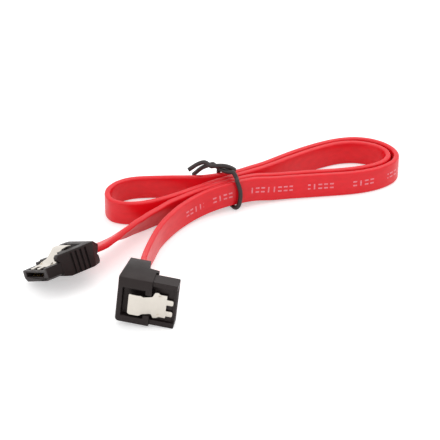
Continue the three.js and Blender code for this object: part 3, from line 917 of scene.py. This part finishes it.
def twist_points(phase, split, turns):
    """One of the two twisted wires, from the twist's loose end to its root at the loop."""
    end, root = over_loop(TWIST_END), over_loop(TWIST_ROOT)
    axis = (root - end).normalized()
    sideways = axis.cross(Vector((0, 0, 1))).normalized()
    lifted = sideways.cross(axis)
    points = []
    for i in range(TWIST_STEPS + 1):
        share = i / TWIST_STEPS
        angle = phase + share * turns * 2 * math.pi
        points.append(end.lerp(root, share) + split * (
            sideways * math.cos(angle) + lifted * math.sin(angle)))
    return points


def loop_points(split):
    """The loop round the bundle, down at the back, under the strands and up in front."""
    spots = []
    for k, (b, c) in enumerate(((1, 1), (1, -1), (-1, -1), (-1, 1))):
        for i in range(4):
            angle = math.pi / 2 - (k + i / 3) * math.pi / 2
            spots.append((
                b * (LOOP_ACROSS - LOOP_CORNER) + LOOP_CORNER * math.cos(angle),
                c * (LOOP_UP - LOOP_CORNER) + LOOP_CORNER * math.sin(angle)))
        if k in (0, 2):
            spots += [(b * LOOP_ACROSS, b * up * LOOP_UP) for up in (0.35, 0.0, -0.35)]
        if k == 1:
            spots.append((0.0, c * LOOP_UP))
    points = []
    for i, (b, c) in enumerate(spots):
        # The loop's two ends stand apart, and its front bows a little sideways.
        apart = -split + 2 * split * i / (len(spots) - 1)
        leaning = (1 - b / LOOP_ACROSS) * (1 + c / LOOP_UP) / 2
        bow = BOW[0] + BOW[1] * leaning + BOW[2] * leaning * leaning
        points.append(Vector((apart + bow * MM, b, c)))
    return points


class DATACABLE_OT_tie(bpy.types.Operator):
    """Makes the coated wire tie round the bundle"""

    bl_idname = "datacable.tie"
    bl_label = "Wire tie"

    def execute(self, context):
        settings = context.scene.datacable_tie
        wire = settings.wire / 2
        split = wire * TWIST_SPLIT
        centre = Vector((*LOOP_PLACE, LOOP_UP + wire * LOOP_LIFT))
        base = Matrix.Translation(centre) @ Matrix.Rotation(math.radians(LOOP_TURN), 4, "Z")
        points = [over_loop(spot) for spot in FIRST_TAIL]
        points += twist_points(0.0, split, settings.turns)
        points += loop_points(split)
        points += reversed(twist_points(math.pi, split, settings.turns))
        points += [over_loop(spot) for spot in SECOND_TAIL]
        line = smooth_line([base @ p for p in points], [0.0] * len(points), WIRE_STEPS)
        places = [place for place, _ in line]
        ways = tangents(places)
        normal = ways[0].orthogonal().normalized()
        angles = [k * 2 * math.pi / WIRE_SIDES for k in range(WIRE_SIDES)]
        rings = []
        for place, way in zip(places, ways):
            normal = (normal - way * normal.dot(way)).normalized()
            across = way.cross(normal)
            rings.append([
                place + wire * (normal * math.cos(angle) + across * math.sin(angle))
                for angle in angles])
        lengths = run_lengths(places)
        tie = sweep(
            "coated_tie", rings, "Run", [s / lengths[-1] for s in lengths],
            [k / WIRE_SIDES for k in range(WIRE_SIDES + 1)])
        finish_piece(tie, tie_material(settings), "tie_coat", "bundle", "twist_tie")
        return {"FINISHED"}


def is_under(p):
    """Whether a corner is on the underside of what stands out of the overmould."""
    return p.x < FRONT_PART and p.z < UNDERSIDE


class DATACABLE_OT_housings(bpy.types.Operator):
    """Makes the mating body of both plugs, with rounded edges round its mouth, slot and bay"""

    bl_idname = "datacable.housings"
    bl_label = "Housings"

    def execute(self, context):
        settings = context.scene.datacable_plug
        material = plastic_material("smooth_black_plastic", settings, 0.11, 0.4)
        for side, plug in (("straight", STRAIGHT_FRAME), ("angled", ANGLED_FRAME)):
            piece = shell_from(f"{side}_housing", f"{side}_shell", plug)
            # The rim over the slot lies just under the latch's fingers.
            shift(piece, (0.0, 0.0, -0.38), lambda p: p.x < 0.95 and 3.9 < p.z < 4.1)
            if side == "straight":
                # Its underside is a little higher, mostly on the near side. Its far cheek is low.
                shift(piece, (0.0, 0.0, 0.55), lambda p: is_under(p) and p.y < 0.0)
                shift(piece, (0.0, 0.0, 0.25), lambda p: is_under(p) and p.y > 0.0)
                shift(piece, (0.0, 0.0, -0.8), lambda p: (
                    p.x < FRONT_PART and p.z > 4.35 and p.y > 0.0))
                for sign in (-1, 1):
                    shift(piece, (0.0, sign * 0.26, 0.0), lambda p: p.x > 4.9 and sign * p.y > SIDE)
            else:
                # Its back is nearly square, so that it closes against the overmould's collar.
                for sign in (-1, 1):
                    shift(piece, (0.0, sign * 0.9, 0.0), lambda p: (
                        sign * p.y > 5.7 and p.z < UNDERSIDE))
                    shift(piece, (0.0, 0.0, -0.9), lambda p: (
                        sign * p.y > SIDE and abs(p.z - 1.3) < NEAR))
            # The slot's mouth gets a lead-in, the outside and the bay small rounds.
            round_edges(piece, 0.38, 2, lambda p: p.x < 0.01 and abs(p.y) < 5.4 and 0.7 < p.z < 3.1)
            round_edges(piece, 0.3, 3, lambda p: p.x < 0.05 and (
                abs(p.y) > 5.7 or p.z < 0.6 or p.z > 4.35))
            round_edges(piece, 0.25, 3, lambda p: p.x < FRONT_PART and p.z < 1.4 and (
                abs(p.y) > SIDE or p.z < 0.6))
            round_edges(piece, 0.12, 2, lambda p: p.z > 3.35 and abs(p.y) < 5.6)
            settle(piece, plug)
            finish_piece(piece, material, "plastic", "bundle", f"{side}_housing")
        return {"FINISHED"}


class DATACABLE_OT_overmoulds(bpy.types.Operator):
    """Makes the overmould of both plugs, with its rounded corners, grooves and latch window"""

    bl_idname = "datacable.overmoulds"
    bl_label = "Overmoulds"

    def execute(self, context):
        settings = context.scene.datacable_plug
        material = plastic_material("satin_black_overmould", settings, 0.16, 0.46)
        piece = shell_from("straight_overmould", "straight_grip", STRAIGHT_FRAME)
        # The mould was shot against the body, so its front closes on the body's rear and top.
        shift(piece, (-0.28, 0.0, 0.0), lambda p: abs(p.x - 5.3) < NEAR)
        shift(piece, (0.0, 0.0, -0.28), lambda p: abs(p.z - 4.7) < NEAR and p.x < 6.7)
        shift(piece, (0.0, 0.0, 0.4), lambda p: p.x < FRONT_PART and abs(p.z + 0.1) < NEAR)
        shift(piece, (0.9, 0.0, 0.0), lambda p: p.x > 15.5 and p.z > 3.0)
        shift(piece, (0.0, 0.0, -0.6), lambda p: p.x < 14.3 and abs(p.z - 5.3) < NEAR and p.y > 0.0)
        round_edges(piece, 0.9, 4, lambda p: p.x > 15.0 and abs(p.y) > 5.0 and (
            -0.5 < p.z < 6.8))
        round_edges(piece, 0.14, 2, lambda p: abs(p.y) > 7.35 and 8.0 < p.x < 15.7 and p.z < 6.2)
        round_edges(piece, 0.3, 3, lambda p: (p.z > 5.25 or p.z < 0.0) and p.x < 18.2)
        settle(piece, STRAIGHT_FRAME)
        finish_piece(piece, material, "plastic", "bundle", "straight_overmould")

        piece = shell_from("angled_overmould", "angled_grip", ANGLED_FRAME)
        shift(piece, (-0.28, 0.0, 0.0), lambda p: abs(p.x - 7.3) < NEAR)
        shift(piece, (0.0, 0.0, 0.28), lambda p: abs(p.z + 0.3) < NEAR and p.x < 7.4)
        # The neck round the cable reaches a little farther back and leans to the rear.
        shift(piece, (0.4, 0.0, -0.7), lambda p: p.z < -6.2 and p.x < 12.0)
        shift(piece, (1.0, 0.0, -0.7), lambda p: -6.4 < p.z < -6.2 and p.x > 12.0)
        round_edges(piece, 1.1, 5, lambda p: p.x > 16.5 and p.y > 7.3 and p.z > 3.9)
        round_edges(piece, 0.35, 3, lambda p: p.z > 5.2)
        round_edges(piece, 0.45, 3, lambda p: p.z < 5.2 and p.x > 8.5)
        settle(piece, ANGLED_FRAME)
        finish_piece(piece, material, "plastic", "bundle", "angled_overmould")
        return {"FINISHED"}


def between(value, table):
    """A number read from a table of (place, number), straight between its rows."""
    if value <= table[0][0]:
        return table[0][1]
    for (a, p), (b, q) in zip(table, table[1:]):
        if value <= b:
            return p + (q - p) * (value - a) / (b - a)
    return table[-1][1]


def eased(value, table, reach):
    """The same, with its corners rounded by a short average."""
    return sum(between(value + reach * k / 4, table) for k in range(-4, 5)) / 9


class SpringShape:
    """A sheet spring's side view and outline along its plug, in millimetres."""

    def __init__(self, rise, tab_end):
        bed = LATCH_BED / MM
        tab = bed + rise
        self.front = FINGER_ROOT / MM
        self.tab_end = tab_end
        self.heights = (
            (1.2, bed), (5.6, bed + 0.1), (9.6, tab - 0.25), (10.6, tab),
            (tab_end - 0.7, tab), (tab_end, tab - 0.35))
        self.halves = (
            (self.front, 3.7), (4.6, 3.7), (5.2, 4.2), (6.2, 4.2), (6.7, 2.9), (7.2, 2.8),
            (9.2, 2.8), (9.9, TAB_HALF), (tab_end - TAB_CORNER, TAB_HALF))

    def height(self, x):
        return eased(x, self.heights, BEND_REACH)

    def half_width(self, x):
        if x > self.tab_end - TAB_CORNER:
            past = (x - self.tab_end) / TAB_CORNER + 1
            corner = TAB_CORNER * math.sqrt(max(0.0, 1 - past ** 2))
            return TAB_HALF - TAB_CORNER + corner
        return eased(x, self.halves, OUTLINE_REACH)

    def stations(self):
        """Where the sheet is drawn from, evenly at first and closer round the tab's corners."""
        corner = self.tab_end - TAB_CORNER
        count = int((corner - self.front) / STATION_STEP + 0.001) + 1
        places = [self.front + STATION_STEP * k for k in range(count)]
        places += [corner + TAB_CORNER * math.sin(math.radians(15 * k)) for k in range(1, 7)]
        return places


def draw_sheet(spring, shape):
    """In edit mode, keeps one edge of a plane and draws it out along the bent sheet."""
    stations = shape.stations()
    select(spring, "verts", lambda v: v.co.x > 0)
    bpy.ops.mesh.delete(type="VERT")
    bpy.ops.mesh.select_all(action="SELECT")
    width = 2 * shape.half_width(stations[0])
    bpy.ops.transform.resize(value=(1.0, width * MM, 1.0), center_override=(0.0, 0.0, 0.0))
    bpy.ops.transform.translate(
        value=(0.5 + stations[0] * MM, LATCH_SHIFT, shape.height(stations[0]) * MM))
    for x0, x1 in zip(stations, stations[1:]):
        z0, z1 = shape.height(x0), shape.height(x1)
        bpy.ops.mesh.extrude_region_move(
            TRANSFORM_OT_translate={"value": ((x1 - x0) * MM, 0.0, (z1 - z0) * MM)})
        bpy.ops.transform.resize(
            value=(1.0, shape.half_width(x1) / shape.half_width(x0), 1.0),
            center_override=(x1 * MM, LATCH_SHIFT, z1 * MM))


def draw_fingers(spring):
    """In edit mode, cuts the sheet lengthwise and draws the two fingers out of its front edge."""
    for place, finger in FINGERS:
        for y in (place - finger / 2, place + finger / 2):
            bpy.ops.mesh.select_all(action="SELECT")
            bpy.ops.mesh.bisect(
                plane_co=(0.0, LATCH_SHIFT + y, 0.0), plane_no=(0.0, 1.0, 0.0))
    for place, finger in FINGERS:
        low, high = LATCH_SHIFT + place - finger / 2, LATCH_SHIFT + place + finger / 2
        select(spring, "edges", lambda e: all(
            v.co.x < FINGER_ROOT + TOUCH and low - HAIR < v.co.y < high + HAIR
            for v in e.verts))
        bpy.ops.mesh.extrude_region_move(
            TRANSFORM_OT_translate={"value": (LATCH_START - FINGER_ROOT, 0.0, -0.04 * MM)})
    select(spring, "verts", lambda v: v.co.x < LATCH_START + TOUCH)
    bpy.ops.mesh.bevel(offset=0.45 * MM, segments=4, affect="VERTICES")
    select(spring, "verts", lambda v: abs(v.co.x - FINGER_ROOT) < TOUCH and any(
        abs(abs(v.co.y - LATCH_SHIFT - place) - finger / 2) < TOUCH
        for place, finger in FINGERS))
    bpy.ops.mesh.bevel(offset=0.2 * MM, segments=3, affect="VERTICES")


def thicken(spring, sheet):
    """Gives the drawn sheet its thickness and softly broken edges."""
    skin = spring.modifiers.new("sheet", "SOLIDIFY")
    skin.thickness = sheet
    skin.offset = 0.0
    soft = spring.modifiers.new("edges", "BEVEL")
    soft.width = 0.05 * MM
    soft.segments = 2
    soft.limit_method = "ANGLE"
    soft.angle_limit = math.radians(50.0)
    apply_all(spring)


def make_barb(sign, sheet):
    """One barb on the plate, a small upright wedge of the same sheet, on one side."""
    bpy.ops.mesh.primitive_cube_add(size=1.0, location=(0.0, 0.0, 0.0))
    barb = bpy.context.object
    bpy.ops.object.mode_set(mode="EDIT")
    bpy.ops.transform.resize(
        value=(BARB_LENGTH, sheet, BARB_HEIGHT), center_override=(0.0, 0.0, 0.0))
    bpy.ops.transform.translate(value=(
        BARB_PLACE, LATCH_SHIFT + sign * BARB_APART, LATCH_BED + BARB_HEIGHT / 2))
    # Its upper front corners go down to the plate.
    select(barb, "verts", lambda v: v.co.x < BARB_PLACE and v.co.z > LATCH_BED + BARB_HEIGHT / 2)
    bpy.ops.transform.translate(value=(0.05 * MM, 0.0, -0.72 * MM))
    round_edges(barb, 0.06, 2, lambda p: True)
    bpy.ops.object.mode_set(mode="OBJECT")
    return barb


class DATACABLE_OT_latches(bpy.types.Operator):
    """Makes the two sheet springs: fingers, plate with wings and barbs, neck and press tab"""

    bl_idname = "datacable.latches"
    bl_label = "Latches"

    def execute(self, context):
        settings = context.scene.datacable_latch
        material = steel_material(settings)
        for side, plug, rise, tab_end in SPRINGS:
            bpy.ops.mesh.primitive_plane_add(size=1.0, location=(0.0, 0.0, 0.0))
            spring = context.object
            spring.name = f"{side}_spring"
            bpy.ops.object.mode_set(mode="EDIT")
            draw_sheet(spring, SpringShape(rise, tab_end))
            draw_fingers(spring)
            bpy.ops.object.mode_set(mode="OBJECT")
            thicken(spring, settings.sheet)
            barbs = [make_barb(sign, settings.sheet) for sign in (-1, 1)]
            pick(spring)
            for barb in barbs:
                barb.select_set(True)
            bpy.ops.object.join()
            sheet_map = spring.data.uv_layers.new(name="Sheet")
            for loop in spring.data.loops:
                place = spring.data.vertices[loop.vertex_index].co
                sheet_map.data[loop.index].uv = (place.x / SHEET_MAP, place.y / SHEET_MAP + 0.5)
            spring.data.transform(plug)
            outward(spring)
            smooth(spring, 35.0)
            finish_piece(spring, material, "spring_steel", f"{side}_latch", f"{side}_latch")
        return {"FINISHED"}


class DATACABLE_OT_contacts(bpy.types.Operator):
    """Gives the seven contacts of each plug their gilt finish"""

    bl_idname = "datacable.contacts"
    bl_label = "Contacts"

    def execute(self, context):
        material = gilt_material(context.scene.datacable_plug)
        for side in ("straight", "angled"):
            for number in range(1, 8):
                contact = frame["nodes"][f"{side}_contact_{number}"]
                if not contact.material_slots:
                    raise RuntimeError(f"{contact.name} has no material slot")
                for place in contact.material_slots:
                    place.material = material
        return {"FINISHED"}


class DATACABLE_PT_panel(bpy.types.Panel):
    """Lists the cable's settings and steps"""

    bl_idname = "DATACABLE_PT_panel"
    bl_label = "Data Cable"
    bl_space_type = "VIEW_3D"
    bl_region_type = "UI"
    bl_category = "Data Cable"

    def draw(self, context):
        layout = self.layout
        for name, settings in SETTINGS:
            box = layout.box()
            box.label(text=settings.__name__.replace("Settings", ""))
            group = getattr(context.scene, name)
            for key in settings.__annotations__:
                box.prop(group, key)
        for operator in OPERATORS:
            layout.operator(operator.bl_idname)


SETTINGS = (
    ("datacable_stage", StageSettings),
    ("datacable_cable", CableSettings),
    ("datacable_tie", TieSettings),
    ("datacable_plug", PlugSettings),
    ("datacable_latch", LatchSettings),
)
OPERATORS = (
    DATACABLE_OT_stage,
    DATACABLE_OT_housings,
    DATACABLE_OT_overmoulds,
    DATACABLE_OT_latches,
    DATACABLE_OT_contacts,
    DATACABLE_OT_cable,
    DATACABLE_OT_tie,
)


def register():
    for name, settings in SETTINGS:
        bpy.utils.register_class(settings)
        setattr(bpy.types.Scene, name, bpy.props.PointerProperty(type=settings))
    for operator in OPERATORS:
        bpy.utils.register_class(operator)
    bpy.utils.register_class(DATACABLE_PT_panel)


def unregister():
    bpy.utils.unregister_class(DATACABLE_PT_panel)
    for operator in reversed(OPERATORS):
        bpy.utils.unregister_class(operator)
    for name, settings in reversed(SETTINGS):
        delattr(bpy.types.Scene, name)
        bpy.utils.unregister_class(settings)


def main():
    register()
    bpy.ops.object.select_all(action="DESELECT")
    bpy.ops.datacable.stage()
    bpy.ops.datacable.housings()
    bpy.ops.datacable.overmoulds()
    bpy.ops.datacable.latches()
    bpy.ops.datacable.contacts()
    bpy.ops.datacable.cable()
    bpy.ops.datacable.tie()
    sizes = {
        "cad": [list(corner) for corner in CAD_BOX],
        "visual": [list(corner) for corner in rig.bounds()],
    }
    with open(SIZE_FILE, "w") as handle:
        json.dump(sizes, handle, indent=1)


if __name__ == "__main__":
    main()
